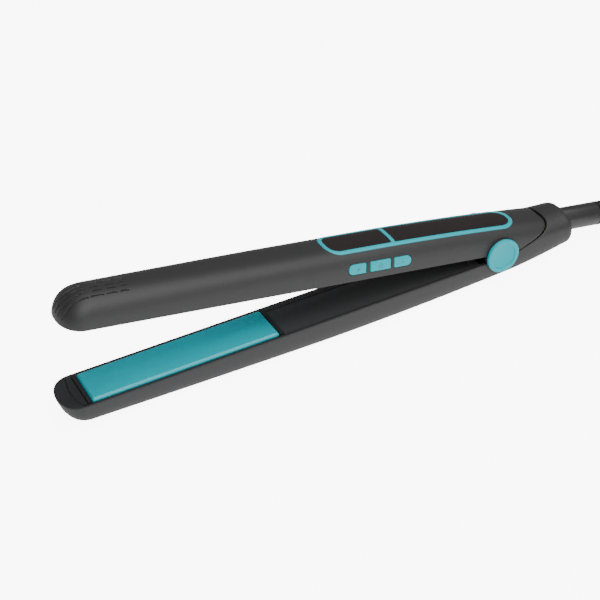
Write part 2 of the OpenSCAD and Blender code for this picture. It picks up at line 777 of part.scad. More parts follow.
// Strap round the run of the hank that lies away from the buttons
tie_half = 5;
module tie_block(x, grow) {
    block(hank_x - x, hank_x + x, hank_y + hank_in - grow, hank_y + hank_out + grow,
        tie_t - grow, hank_top + grow);
}
module cord_tie() {
    color("#1a1a1b") difference() {
        tie_block(tie_half, tie_t);
        tie_block(tie_half + 1, 0.02);
    }
}
plug_len = 34;
plug_half_w = 17.5;
pin_pitch = 19;
plug_pin_r = 2;
plug_pin_len = 19;
module plug_body() {
    color("#1a1a1b") translate([plug_x, plug_y, plug_z]) rotate([0, -90, 0]) {
        hull() {
            for (s = [-1, 1]) translate([0, 4 * s, 0]) cylinder(r = 4.6, h = 1, $fn = 32);
            for (s = [-1, 1]) translate([0, (plug_half_w - 6) * s, 14]) cylinder(r = 6, h = 1, $fn = 32);
        }
        linear_extrude(plug_len) {
            for (s = [-1, 1]) translate([0, (plug_half_w - 6) * s]) circle(r = 6);
            translate([-6, -plug_half_w + 6]) square([12, 2 * plug_half_w - 12]);
        }
    }
}
module plug_pins() {
    color("#c9c9cd") translate([plug_x - plug_len, plug_y, plug_z]) rotate([0, -90, 0])
        for (s = [-1, 1]) translate([0, pin_pitch / 2 * s, 0]) cylinder(r = plug_pin_r, h = plug_pin_len);
}

lower_shell();
lower_inner_cover();
lower_plate_carrier();
lower_carrier_screws();
lower_plate_pads();
lower_nose_insert();
lower_plate();
lower_heater();
lower_heater_leads();
thermal_fuse();
hinge_pin();
hinge_spring();
hinge_cap_near();
hinge_cap_far();
swivel_cradle();
swivel_cover();
swivel_screws();
contact_brushes();
swivel_stem();
swivel_rings();
cord_guard();
upper_shell();
upper_inner_cover();
upper_plate_carrier();
upper_carrier_screws();
upper_plate_pads();
upper_nose_insert();
upper_plate();
upper_heater();
upper_heater_leads();
trim_ring();
display_window();
rear_panel();
control_board();
tact_switches();
display_module();
plus_button();
power_button();
minus_button();
cord_lead();
cord_hank();
cord_end();
cord_tie();
plug_body();
plug_pins();
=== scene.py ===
import bmesh
import bpy
import numpy as np
from mathutils import Matrix


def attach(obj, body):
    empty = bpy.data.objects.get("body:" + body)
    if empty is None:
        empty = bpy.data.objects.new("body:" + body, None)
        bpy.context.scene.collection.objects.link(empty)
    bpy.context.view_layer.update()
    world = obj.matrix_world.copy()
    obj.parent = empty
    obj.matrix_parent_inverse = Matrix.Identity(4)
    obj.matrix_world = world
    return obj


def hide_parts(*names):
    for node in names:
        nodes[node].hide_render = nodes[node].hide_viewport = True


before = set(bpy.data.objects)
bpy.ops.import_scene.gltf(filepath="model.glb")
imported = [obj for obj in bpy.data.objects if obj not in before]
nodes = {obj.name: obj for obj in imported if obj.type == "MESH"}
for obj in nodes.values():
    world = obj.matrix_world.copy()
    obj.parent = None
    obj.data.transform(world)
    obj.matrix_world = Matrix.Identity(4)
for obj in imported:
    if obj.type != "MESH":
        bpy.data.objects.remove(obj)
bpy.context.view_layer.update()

# Camera: ahead of the iron on its button side, about 35 degrees above the table and rolled a little. Right,
# up, back and place are the columns of its matrix.
camera = bpy.data.objects.new("camera", bpy.data.cameras.new("camera"))
bpy.context.scene.collection.objects.link(camera)
camera.data.sensor_width = 36
camera.data.lens = 91.158
camera.data.clip_start = 0.02
camera.data.clip_end = 20
camera_right = (0.887309, -0.456281, -0.067014)
camera_up = (0.310345, 0.483284, 0.818610)
camera_back = (-0.341129, -0.747157, 0.570427)
camera_place = (-0.304586, -0.608431, 0.489356)
camera.matrix_world = Matrix([
    (right, up, back, place)
    for right, up, back, place in zip(camera_right, camera_up, camera_back, camera_place)
] + [(0, 0, 0, 1)])
bpy.context.scene.camera = camera

# Mains cord: a round 6.5 mm lead, 1.8 m long, with a black rubber sheath. It leaves the bend guard, runs
# along the table to a tied hank of two lanes and four layers, and comes off the hank's bottom to the plug.
# The bend guard is moulded on it in the same rubber, and its CAD solid stays.
CORD_D = 6.5
GUARD_END = 211.4                # where the cord leaves the bend guard
PLUG_SLEEVE, PLUG_Y = 228.2, -27.4      # where it enters the plug
HANK_X, HANK_Y, HANK_RUN = 302.0, -13.2, 52.0
OUTER_LANE, LANE = 27.0, 6.6     # from the hank's middle line to the cord's, and from one lane to the next
TABLE_Z, LAYER = 4.05, 6.55      # middle of the cord in the lowest layer, on the tie's strap
LIFT = 2.05                      # how much higher the cord is at the guard and at the plug


def s_blend(u):
    """From 0 to 1 along two parabolas: 2 u^2 up to the middle, then 1 - 2 (1 - u)^2."""
    u = np.clip(u, 0, 1)
    return np.where(u < 0.5, 2 * u ** 2, 1 - 2 * (1 - u) ** 2)


def hank_path(step):
    """Middle line of the hank, in millimetres, every step along its inner lane. Seen from above it goes
    clockwise round two straight runs and two half circles, lane away from the middle line. It shifts to the
    inner lane on its first run and climbs a layer at the start of the next three turns. Then it shifts to
    the outer lane on the fourth layer, and sinks a layer on the near run of each of the last three turns."""
    fold = np.pi * (OUTER_LANE - LANE)
    half_run = HANK_RUN / 2
    turn = 2 * (HANK_RUN + fold)
    a = np.arange(0, 6 * turn + 2 * HANK_RUN + fold, step)
    lane = OUTER_LANE + LANE * (s_blend((a - 4 * turn + fold) / fold) - s_blend((a - half_run) / half_run))
    climbs = sum(s_blend((a - k * turn + 24) / 50) for k in (1, 2, 3))
    sinks = sum(s_blend((a - k * turn - HANK_RUN - fold) / HANK_RUN) for k in (4, 5, 6))
    corners = np.cumsum([0, HANK_RUN, fold, HANK_RUN, fold])
    t = a % turn
    first, second = np.interp(t, corners[1:3], [0, 1]), np.interp(t, corners[3:5], [0, 1])
    angle = np.pi / 2 - np.pi * (first + second)
    middle = np.interp(t, corners, [-half_run, half_run, half_run, -half_run, -half_run])
    return np.stack([HANK_X + middle + lane * np.cos(angle), HANK_Y + lane * np.sin(angle),
                     TABLE_Z + LAYER * (climbs - sinks)], 1)


# The lead sinks to the table and swings over to the hank's far run. The end comes off the near run, moves
# back to the plug's line and climbs to its sleeve.
SINK_END, SWING = 240, 59        # where the lead lies on the table, and how long it takes to swing over
hank_start = HANK_X - HANK_RUN / 2
far_run, near_run = HANK_Y + OUTER_LANE, HANK_Y - OUTER_LANE
lead_x = np.linspace(GUARD_END, hank_start, 23)[:-1]
sink = np.clip(SINK_END - lead_x, 0, None) / (SINK_END - GUARD_END)
lead = np.stack([lead_x, far_run * s_blend((lead_x - hank_start + SWING) / SWING),
                 TABLE_Z + LIFT * sink ** 2.3], 1)
end_x = np.linspace(hank_start - 1, PLUG_SLEEVE, 17)
end = np.stack([end_x, near_run + (PLUG_Y - near_run) * s_blend((266 - end_x) / 36),
                TABLE_Z + LIFT * s_blend((258 - end_x) / 26)], 1)
route = np.concatenate([lead, hank_path(3.5), end]) * 0.001


def surface_finish(name, colour, roughness, metallic=0.0, grain=2500.0, relief=0.00001, mottle=0.05,
                   coat=0.0, rough_swing=0.05, specular=0.5):
    """A finish on Object coordinates. A fine noise lifts the surface by relief metres and swings the
    roughness; a broad noise makes the colour a little darker or lighter by the share mottle."""
    material = bpy.data.materials.new(name)
    material.use_nodes = True
    tree = material.node_tree
    shader = tree.nodes["Principled BSDF"]
    shader.inputs["Metallic"].default_value = metallic
    shader.inputs["Specular IOR Level"].default_value = specular
    shader.inputs["Coat Weight"].default_value = coat
    shader.inputs["Coat Roughness"].default_value = 0.08
    place = tree.nodes.new("ShaderNodeTexCoord")
    fine = tree.nodes.new("ShaderNodeTexNoise")
    fine.inputs["Scale"].default_value = grain
    fine.inputs["Detail"].default_value = 2.0
    broad = tree.nodes.new("ShaderNodeTexNoise")
    broad.inputs["Scale"].default_value = 45.0
    broad.inputs["Detail"].default_value = 3.0
    tree.links.new(place.outputs["Object"], fine.inputs["Vector"])
    tree.links.new(place.outputs["Object"], broad.inputs["Vector"])
    bump = tree.nodes.new("ShaderNodeBump")
    bump.inputs["Distance"].default_value = relief
    bump.inputs["Strength"].default_value = 0.6
    tree.links.new(fine.outputs["Fac"], bump.inputs["Height"])
    tree.links.new(bump.outputs["Normal"], shader.inputs["Normal"])
    tone = tree.nodes.new("ShaderNodeMix")
    tone.data_type = "RGBA"
    tone.inputs["A"].default_value = [c * (1 - mottle) for c in colour] + [1]
    tone.inputs["B"].default_value = [min(c * (1 + mottle), 1) for c in colour] + [1]
    tree.links.new(broad.outputs["Fac"], tone.inputs["Factor"])
    tree.links.new(tone.outputs["Result"], shader.inputs["Base Color"])
    swing = tree.nodes.new("ShaderNodeMapRange")
    swing.inputs["To Min"].default_value = max(roughness - rough_swing, 0.02)
    swing.inputs["To Max"].default_value = min(roughness + rough_swing, 1)
    tree.links.new(fine.outputs["Fac"], swing.inputs["Value"])
    tree.links.new(swing.outputs["Result"], shader.inputs["Roughness"])
    return material


def dress(material, *names):
    """Gives CAD nodes their finish."""
    for name in names:
        for holder in nodes[name].material_slots:
            holder.material = material


def fit(piece, body, slot, material, *stands_for):
    """Puts the finish on a piece, lets it ride on its body and hides the CAD nodes that it stands for."""
    piece.data.materials.append(material)
    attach(piece, body)
    if stands_for:
        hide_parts(*stands_for)
    return piece


cord_rubber = surface_finish("cord_rubber", (0.012, 0.012, 0.012), 0.5, grain=3000, relief=0.00002,
                             mottle=0.15)
cord_curve = bpy.data.curves.new("mains_cord", "CURVE")
cord_curve.dimensions = "3D"
cord_curve.bevel_depth = CORD_D / 2000
cord_curve.bevel_resolution = 5
cord_curve.use_fill_caps = True
cord_line = cord_curve.splines.new("POLY")
cord_line.points.add(len(route) - 1)
cord_line.points.foreach_set("co", np.c_[route, np.ones(len(route))].ravel())
cord_line.use_smooth = True
mains_cord = bpy.data.objects.new("mains_cord", cord_curve)
bpy.context.scene.collection.objects.link(mains_cord)
fit(mains_cord, "lower_arm", "cord_black", cord_rubber, "cord_lead", "cord_hank", "cord_end")
dress(cord_rubber, "cord_guard")

# Plug: a flat moulded two-pin plug, with a waist for the fingers and a short sleeve for the cord. The two
# pins are nickel-plated brass, and their CAD solids stay.
PLUG_BACK, PLUG_FRONT = 230.0, 194.0
PLUG_Z = TABLE_Z + LIFT
SLEEVE_R = 4.5
GRIP_MIDDLE, GRIP_PITCH = 19, 3.2      # from the plug's back, and from one groove to the next


def plug_loft(rows, columns):
    """Sections across the plug, each a rounded rectangle |y/w|^4 + |z/h|^4 = 1 whose half width w and half
    thickness h follow its length: a round sleeve, shoulders that swell smoothly, five shallow grip grooves
    and an edge rounded over the last 1.2 mm at the pins."""
    along = np.linspace(0, 1, rows)[:, None]
    length = PLUG_BACK - PLUG_FRONT
    from_back = along * length
    swell_out = 1 / (1 + np.exp(-(from_back - 9.5) / 2.0))
    grip = 0.45 * np.clip(np.cos((from_back - GRIP_MIDDLE) * 2 * np.pi / GRIP_PITCH), 0, 1)
    grip = grip * (np.abs(from_back - GRIP_MIDDLE) < 8)
    end = np.sqrt(np.clip(1 - (np.clip(from_back - (length - 1.2), 0, 1.2) / 1.2) ** 2, 0, 1))
    start = np.sqrt(np.clip(1 - (1 - np.clip(from_back, 0, 0.8) / 0.8) ** 2, 0, 1))
    half_width = (SLEEVE_R + 13.0 * swell_out - grip - 1.2 * (1 - end) - 0.7 * (1 - start))
    half_thick = (SLEEVE_R + 1.5 * swell_out - grip * 0.6 - 1.2 * (1 - end) - 0.7 * (1 - start))
    power = 2 + 2 * swell_out
    angle = np.linspace(0, 2 * np.pi, columns)[None, :]
    reach = (np.abs(np.cos(angle) / half_width) ** power
             + np.abs(np.sin(angle) / half_thick) ** power) ** (-1 / power)
    x = np.broadcast_to(PLUG_BACK - from_back, reach.shape)
    grid = np.stack([x, PLUG_Y + reach * np.cos(angle), PLUG_Z + reach * np.sin(angle)], -1)
    caps = [np.broadcast_to([PLUG_BACK, PLUG_Y, PLUG_Z], (1, columns, 3)),
            np.broadcast_to([PLUG_FRONT, PLUG_Y, PLUG_Z], (1, columns, 3))]
    return np.concatenate([caps[0], grid, caps[1]])


def skin(name, grids, sharp=40):
    """One mesh from grids of points in millimetres. A grid is rows by columns by 3, and four neighbours
    make a face. Grids that meet are sewn together where their points coincide. Faces are then turned so
    that the sum of area times normal times distance from the middle is positive, which is outwards."""
    points, faces, start = [], [], 0
    for grid in grids:
        count = grid.shape[0] * grid.shape[1]
        index = start + np.arange(count).reshape(grid.shape[:2])
        corners = [index[:-1, :-1], index[1:, :-1], index[1:, 1:], index[:-1, 1:]]
        faces.append(np.stack(corners, -1).reshape(-1, 4))
        points.append(grid.reshape(-1, 3))
        start += count
    mesh = bpy.data.meshes.new(name)
    mesh.from_pydata((np.concatenate(points) * 0.001).tolist(), [], np.concatenate(faces).tolist())
    work = bmesh.new()
    work.from_mesh(mesh)
    bmesh.ops.remove_doubles(work, verts=work.verts, dist=2e-6)
    bmesh.ops.dissolve_degenerate(work, edges=work.edges, dist=1e-7)
    bmesh.ops.recalc_face_normals(work, faces=work.faces)
    work.to_mesh(mesh)
    count = len(mesh.polygons)
    centre, normal, area = np.zeros(count * 3), np.zeros(count * 3), np.zeros(count)
    mesh.polygons.foreach_get("center", centre)
    mesh.polygons.foreach_get("normal", normal)
    mesh.polygons.foreach_get("area", area)
    centre, normal = centre.reshape(-1, 3), normal.reshape(-1, 3)
    middle = (centre * area[:, None]).sum(0) / area.sum()
    if (((centre - middle) * normal).sum(1) * area).sum() < 0:
        bmesh.ops.reverse_faces(work, faces=work.faces)
        work.to_mesh(mesh)
    work.free()
    mesh.polygons.foreach_set("use_smooth", np.ones(count, bool))
    mesh.set_sharp_from_angle(angle=np.radians(sharp))
    piece = bpy.data.objects.new(name, mesh)
    bpy.context.scene.collection.objects.link(piece)
    return piece


plug_plastic = surface_finish("plug_plastic", (0.015, 0.015, 0.015), 0.42, grain=2200, relief=0.00002,
                              mottle=0.1)
plug = fit(skin("plug", [plug_loft(120, 97)]), "lower_arm", "plug_black", plug_plastic, "plug_body")
pin_nickel = surface_finish("pin_nickel", (0.72, 0.70, 0.66), 0.25, metallic=1.0, grain=900,
                            relief=0.000004)
dress(pin_nickel, "plug_pins")

# Tie: a flat black rubber strap, moulded as a closed band. It is pulled over the hank's run on the far side,
# where it holds the lanes and layers together.
TIE_Y, TIE_Z = 10.5, 13.9


def strap_band(columns):
    """A closed band: a loop |y/a|^8 + |z/b|^8 = 1 round the run's cross-section, with a flat rounded
    profile 10 mm wide and 0.8 mm thick carried along it."""
    angle = np.linspace(0, 2 * np.pi, columns)[None, :]
    across = np.array([(-4.7, 0), (-5, 0.15), (-5, 0.65), (-4.7, 0.8),
                       (4.7, 0.8), (5, 0.65), (5, 0.15), (4.7, 0), (-4.7, 0)])
    half_y, half_z = 6.6 + across[:, 1:], 13.1 + across[:, 1:]
    reach = (np.abs(np.cos(angle) / half_y) ** 8 + np.abs(np.sin(angle) / half_z) ** 8) ** -0.125
    x = np.broadcast_to(HANK_X + across[:, :1], reach.shape)
    return np.stack([x, TIE_Y + reach * np.cos(angle), TIE_Z + reach * np.sin(angle)], -1)


tie = fit(skin("cord_strap", [strap_band(241)]), "lower_arm", "cord_black", cord_rubber, "cord_tie")

# Lower arm: one moulding in soft-touch dark grey plastic, 2.2 mm thick. It is a trough with a closed nose,
# and behind the hinge it rises to a collar that closes round the cord's neck. A station is a distance in
# millimetres from the nose's tip along the arm, and heights count from the plane where the plates meet.
ORIGIN_X, TABLE = 167.0363, 18.45      # from the arms' stations and meeting plane to the part's frame
BODY_LEN = 308
PIVOT_X, PIVOT_Z = 258.6, 1.4
TAIL_BEND_X = PIVOT_X + 10     # where the sections start to turn rounder towards the neck
ARM_HALF, TAIL_NARROWER = 15.4, 1.4
LOW_DEEPEST_X, LOW_DEEPEST = 155, 18.7
LOW_NOSE_RISE, LOW_TAIL_RISE = 4.3, 6.5      # how much shallower the arm is at its nose and its end
COLLAR_X, COLLAR_TOP, COLLAR_DROP = 286.6, 9.4, 0.8
ARM_SQUARENESS = 3.4
RIM = 1.5              # from the meeting plane to each arm's rim
EDGE = 0.5             # rounding of the shells' edges
WALL = 2.2
SHOULDER_X = 38.0      # behind the hinge, where the seam has passed over the top


def swell(x, start, stop, power):
    """Grows from 0 at start to 1 at stop as a power of the way between them."""
    return np.clip((x - start) / (stop - start), 0, 1) ** power


def round_end(u, power=2.2):
    """Quarter of a superellipse: 0 at the tip, 1 where the rounding ends."""
    return (1 - (1 - np.clip(u, 0, 1)) ** power) ** (1 / power)


def plan_half(x):
    """Half the arms' width before the nose is rounded, a little narrower towards the tail's end."""
    return ARM_HALF - TAIL_NARROWER * swell(x, BODY_LEN - 30, BODY_LEN, 1.6)


def tail_squareness(x):
    """The power of the sections: squarish along the arm, rounder towards the tail's end."""
    return ARM_SQUARENESS - swell(x, TAIL_BEND_X, BODY_LEN - 6, 1)


def lower_size(x):
    """Half width, depth and squareness of the lower arm at a station."""
    depth = (LOW_DEEPEST - LOW_NOSE_RISE * swell(x, LOW_DEEPEST_X, 0, 1.3)
             - LOW_TAIL_RISE * swell(x, LOW_DEEPEST_X, BODY_LEN, 2.2))
    return plan_half(x) * round_end(x / 12), depth * round_end(x / 15), tail_squareness(x)


def collar_size(x):
    """The same for the upper half of the tail's collar."""
    top = COLLAR_TOP - COLLAR_DROP * swell(x, COLLAR_X, BODY_LEN, 0.9)
    return plan_half(x), top, tail_squareness(x)


def smooth_course(points, steps):
    """Catmull-Rom curve through the points."""
    p = np.concatenate([2 * points[:1] - points[1:2], points, 2 * points[-1:] - points[-2:-1]])
    t = np.linspace(0, 1, steps, endpoint=False)[None, :, None]
    a, b, c, d = p[:-3, None], p[1:-2, None], p[2:-1, None], p[3:, None]
    curve = 0.5 * (2 * b + (c - a) * t + (2 * a - 5 * b + 4 * c - d) * t ** 2
                   + (3 * b - a - 3 * c + d) * t ** 3)
    return np.concatenate([curve.reshape(-1, points.shape[1]), points[-1:]])


# The seam between the arms behind the hinge, seen from the side and measured from the hinge pin.
seam = np.array([(13, -1.5), (17, -0.3), (21, 0.8), (25, 2.1), (28.5, 3.5), (31.5, 5.1), (34.2, 7), (36.2, 9),
                 (37.4, 11)])
lower_edge = smooth_course(np.concatenate([[(8, -RIM - PIVOT_Z)], seam]), 12) + [PIVOT_X, PIVOT_Z]
seam_zero = float(np.interp(0, lower_edge[:, 1], lower_edge[:, 0]))    # where it crosses the meeting plane
collar_x = PIVOT_X + SHOULDER_X


def arc_angles(count, even):
    """Column positions from -1 to 1: an even spread blended with its cube, which crowds them over the
    middle, and three more close to each edge, where it is rounded."""
    t = np.linspace(-1, 1, count)
    close = np.array([0, 0.0006, 0.0025, 0.0065])
    t = np.concatenate([close - 1, t[1:-1], 1 - close[::-1]])
    return even * t + (1 - even) * t ** 3


def arch(size, x_of_z, z_edge, v):
    """Points on the half section |y/w|^n + |z/h|^n = 1 above z_edge, at the column positions v. In polar
    form the distance from the middle is (|cos/w|^n + |sin/h|^n)^(-1/n). Where rows lean, x depends on z,
    and a few rounds of substitution bring the two together."""
    z = z_edge + 0 * v[None, :]
    for _ in range(9):
        x = x_of_z(z)
        w, h, n = size(x)
        w, h = np.maximum(w, 1e-3), np.maximum(h, 1e-3)
        y_edge = w * np.clip(1 - np.minimum(z_edge / h, 1) ** n, 0, 1) ** (1 / n)
        start = np.arctan2(np.minimum(z_edge, h), y_edge)
        angle = np.pi / 2 - v * (np.pi / 2 - start)
        reach = (np.abs(np.cos(angle) / w) ** n + np.abs(np.sin(angle) / h) ** n) ** (-1 / n)
        z = reach * np.sin(angle)
    return np.stack([x + 0 * z, reach * np.cos(angle), z], -1)


def outward(size, p):
    """Unit normal of the form at the points p, from the differences of its equation."""
    def height(x, y, z):
        w, h, n = size(x)
        return (np.abs(y) / np.maximum(w, 1e-3)) ** n + (np.abs(z) / np.maximum(h, 1e-3)) ** n
    x, y, z = p[..., 0], p[..., 1], p[..., 2]
    e = 0.01
    g = np.stack([height(x + e, y, z) - height(x - e, y, z), height(x, y + e, z) - height(x, y - e, z),
                  height(x, y, z + e) - height(x, y, z - e)], -1)
    return g / np.maximum(np.linalg.norm(g, axis=-1, keepdims=True), 1e-12)


def edge_drop(p, course):
    """How far a point near the edge sinks so that the edge is round: r - sqrt(r^2 - (r - d)^2) at the
    distance d from the edge's course seen from the side."""
    a, b = course[:-1], course[1:]
    span = b - a
    q = p[..., None, [0, 2]]
    t = np.clip(((q - a) * span).sum(-1) / (span ** 2).sum(-1), 0, 1)
    d = np.linalg.norm(q - a - t[..., None] * span, axis=-1).min(-1)
    inside = np.clip(EDGE - d, 0, EDGE)
    return EDGE - np.sqrt(EDGE ** 2 - inside ** 2)


def smooth_step(a, b, x):
    """0 before a, 1 after b, and a smooth S between."""
    t = np.clip((x - a) / (b - a), 0, 1)
    return t * t * (3 - 2 * t)


def grip_grooves(p, front_z, depth):
    """Depth of the moulded grooves on a nose: five long ones that start on its front and end at station 18,
    then rows of short ones. Across, each is a rounded slot 1.2 mm wide."""
    x, y, z = p[..., 0], np.abs(p[..., 1]), np.abs(p[..., 2])
    def slot(centre):
        return 1 - smooth_step(0.28, 0.62, np.abs(y - centre))
    def stretch(a, b):
        return smooth_step(a - 0.3, a + 0.3, x) * (1 - smooth_step(b - 0.3, b + 0.3, x))
    long = smooth_step(front_z - 0.5, front_z + 0.5, z) * (1 - smooth_step(17.6, 18.2, x))
    inner = stretch(21.4, 26.2) + stretch(29.3, 33.8) + stretch(36.2, 39.7)
    outer = stretch(19.6, 25.8) + stretch(27.9, 32.8) + stretch(35.0, 38.9)
    return depth * ((slot(0) + slot(3.65)) * (long + inner) + slot(7.3) * (long + outer))


INSERT_R, INSERT_MIDDLE = 38, 45.8     # radius and middle of the curved front of the nose inserts
LIP_END = 7.6                          # where the solid lip ends on the middle line


def crescent_half(x, edge_y):
    """Half width of the opening behind the solid nose lip: an arc 0.2 mm outside the insert's front, until
    it meets the wall's inner side."""
    arc = np.sqrt(np.clip((INSERT_R + 0.2) ** 2 - np.clip(INSERT_MIDDLE - x, 0, None) ** 2, 0, None))
    return np.clip(np.minimum(arc, edge_y - WALL), 0, None)


def strip(outer, inner, parts):
    """Flat strip between two rows of points."""
    t = np.linspace(0, 1, parts + 1)[None, :, None]
    return outer[:, None] * (1 - t) + inner[:, None] * t


def to_part(p):
    """From stations and the meeting plane to the part's own frame."""
    return p + [-ORIGIN_X, 0, TABLE]


def shell_wall(piece, body, slot, material, node):
    """Gives the skin its wall by thickening it inwards."""
    wall = piece.modifiers.new("wall", "SOLIDIFY")
    wall.thickness = WALL * 0.001
    wall.offset = -1
    wall.use_quality_normals = True
    return fit(piece, body, slot, material, node)


def lower_finish(p, size):
    """Sinks the edges and grooves of the lower arm, and planes its belly flat where it rests."""
    n = outward(size, p)
    sink = edge_drop(p, np.concatenate([[(-5, -RIM)], lower_edge]))
    sink = sink + grip_grooves(p, 6.0, 0.35) * (p[..., 2] < 0)
    q = p - n * sink[..., None]
    q[..., 2] = np.maximum(q[..., 2], -TABLE)
    return q


# Rows lie close together over the nose's rounding and its grooves, and wide apart behind them. The first row
# is where the nose is as deep as its rim.
LOWER_TIP = 0.047
v = arc_angles(110, 0.62)
lower_nose = LOWER_TIP + 3.5 * np.linspace(0, 1, 22) ** 2
stations = np.concatenate([lower_nose, np.arange(3.95, 40.2, 0.42), np.linspace(42, PIVOT_X + 8, 76)])
seam_rows = np.linspace(PIVOT_X + 8, seam_zero, 10)[1:]
trough_x = np.concatenate([stations, seam_rows])
edge_z = -np.interp(trough_x, *np.concatenate([[(-5, -RIM)], lower_edge]).T)
trough = arch(lower_size, lambda z: trough_x[:, None] + 0 * z, np.maximum(edge_z, 0)[:, None], v)
trough = trough * [1, 1, -1]
spread = np.concatenate([[0, 0.0009, 0.0035, 0.009, 0.016], np.linspace(0.03, 1, 24)])
tail_x = seam_zero + (collar_x - seam_zero) * spread
belly = arch(lower_size, lambda z: tail_x[:, None] + 0 * z, np.zeros((len(tail_x), 1)), v) * [1, 1, -1]


def seam_at(z):
    """Station of the lower arm's seam at the height z."""
    return np.interp(z, lower_edge[:, 1], lower_edge[:, 0])


collar = arch(collar_size, lambda z: seam_at(z) + (collar_x - seam_at(z)) * spread[:, None],
              np.zeros((len(spread), 1)), v)
# The tail's end: the section shrinks over the last 4 mm along a superellipse, then closes to the neck's
# opening. The neck droops, and its ball turns about a point 8 mm before the end.
TAIL_ROUND = 4
BALL_X, BALL_Z = BODY_LEN - 8, 0.8
NECK_HOLE_R = 7.3
end_u = np.concatenate([np.linspace(-1.85, 0, 9)[1:], np.sin(np.linspace(0, np.pi / 2, 9)[1:])])
end_x = BODY_LEN - TAIL_ROUND + TAIL_ROUND * end_u
end_scale = 0.86 + 0.14 * (1 - np.clip(end_u, 0, 1) ** 2.2) ** (1 / 2.2)
droop = np.radians(9.5)
belly_end = arch(lower_size, lambda z: end_x[:, None] + 0 * z, np.zeros((len(end_x), 1)), v) * [1, 1, -1]
collar_end = arch(collar_size, lambda z: end_x[:, None] + 0 * z, np.zeros((len(end_x), 1)), v)
belly_end[..., 1:] *= end_scale[:, None, None]
collar_end[..., 1:] *= end_scale[:, None, None]


def close_to_neck(ring):
    """Rows from the end's outline to the circle of the neck's opening, whose middle lies on the axis."""
    angle = np.arctan2(ring[:, 2], ring[:, 1])
    middle_z = BALL_Z - (BODY_LEN - BALL_X) * np.tan(droop)
    circle = np.stack([0 * angle + BODY_LEN, NECK_HOLE_R * np.cos(angle),
                       middle_z + NECK_HOLE_R * np.sin(angle)], 1)
    return np.stack([ring + (circle - ring) * t for t in (0.06, 0.35, 0.7, 1)])


belly_all = np.concatenate([lower_finish(belly, lower_size), lower_finish(belly_end, lower_size)])
belly_all = np.concatenate([belly_all, close_to_neck(belly_all[-1])])
collar_all = np.concatenate([lower_finish(collar, collar_size), collar_end])
collar_all = np.concatenate([collar_all, close_to_neck(collar_all[-1])])
trough_done = lower_finish(trough, lower_size)


def rim_strips(grid, seam_row, seam_raw, size):
    """The flat edge all round a shell: at the rim it runs inwards to the opening, along the seam it goes in
    along the surface's normal by the wall."""
    strips = []
    for side in (0, -1):
        edge = grid[:, side]
        sign = np.sign(edge[len(edge) // 2, 1])
        half = crescent_half(edge[:, 0], np.abs(edge[:, 1]) + EDGE)
        half = np.where(edge[:, 0] < LIP_END, 0, half)
        inner = np.stack([edge[:, 0], sign * half, edge[:, 2]], 1)
        strips.append(strip(edge, inner, 3))
    strips.append(strip(seam_row, seam_raw - WALL * outward(size, seam_raw), 2))
    return strips


lower_strips = rim_strips(trough_done, collar_all[0], collar[0], collar_size)
soft_grey = surface_finish("soft_grey", (0.020, 0.020, 0.021), 0.55, grain=3200, relief=0.000012,
                           mottle=0.04)
lower_grids = [to_part(g) for g in [trough_done, belly_all, collar_all] + lower_strips]
shell_wall(skin("lower_arm_shell", lower_grids), "lower_arm", "shell_grey", soft_grey, "lower_shell")

# Upper arm: the same plastic. Its nose carries the deep grip grooves, its near side has three openings for
# the buttons, and both cheeks are bored for the hinge. It is worked out closed and then turned open by 9.8
# degrees about the pin.
OPEN = np.radians(9.8)
UP_HIGHEST_X, UP_HIGHEST = 185, 17.9
UP_NOSE_DROP, UP_END_DROP = 1.4, 3.7
UP_END = 298.1         # where the upper arm's top would end, under the collar
UP_SQUARENESS = 2.6    # at the nose, which is rounder than the rest
SETBACK = 3            # from the lower nose's tip to the upper's
BORE_R = 10            # in both cheeks, round the hinge caps' seats
BUTTON_GAP = 0.3       # between a button and its opening


def opened(p):
    """The upper arm's points, turned about the hinge from closed to open, in the part's frame."""
    x, z = p[..., 0] - PIVOT_X, p[..., 2] - PIVOT_Z
    return to_part(np.stack([PIVOT_X + x * np.cos(OPEN) + z * np.sin(OPEN), p[..., 1],
                             PIVOT_Z - x * np.sin(OPEN) + z * np.cos(OPEN)], -1))


def upper_size(x):
    """Half width, height and squareness of the upper arm at a station."""
    top = (UP_HIGHEST - UP_NOSE_DROP * swell(x, UP_HIGHEST_X, 0, 1.35)
           - UP_END_DROP * swell(x, UP_HIGHEST_X, UP_END, 2))
    from_tip = x - SETBACK
    squareness = UP_SQUARENESS + (ARM_SQUARENESS - UP_SQUARENESS) * swell(x, 0, 115, 1)
    return plan_half(x) * round_end(from_tip / 12), top * round_end(from_tip / 18), squareness


# Its rear edge follows the seam at a clearance, turned back to where it lies when the arms are closed.
shifted = seam + [-0.6, 0.6]
turned_seam = np.stack([shifted[:, 0] * np.cos(OPEN) - shifted[:, 1] * np.sin(OPEN),
                        shifted[:, 0] * np.sin(OPEN) + shifted[:, 1] * np.cos(OPEN)], 1)
upper_edge = smooth_course(np.concatenate([[(8, RIM - PIVOT_Z)], turned_seam]), 12) + [PIVOT_X, PIVOT_Z]
upper_v = arc_angles(210, 0.55)
UPPER_TIP = 3.0416     # where the nose is as high as its rim
upper_nose = UPPER_TIP + 3.6 * np.linspace(0, 1, 24) ** 2
fan_x = 238.0          # behind this station the rows lean over, more and more, to follow the seam
straight = np.concatenate([upper_nose, np.arange(6.95, 41.5, 0.38), np.linspace(43, fan_x, 72)])
lean = np.concatenate([0 * straight, np.linspace(0, 0.984, 30)[1:], [0.992, 0.997, 0.9992, 1]])
start_x = np.concatenate([straight, np.full(len(lean) - len(straight), fan_x)])


def leaning(z):
    """Station along each row: upright at the front, following the seam at the rear."""
    at_seam = np.interp(z, upper_edge[:, 1], upper_edge[:, 0])
    return start_x[:, None] + lean[:, None] * (at_seam - start_x[:, None])


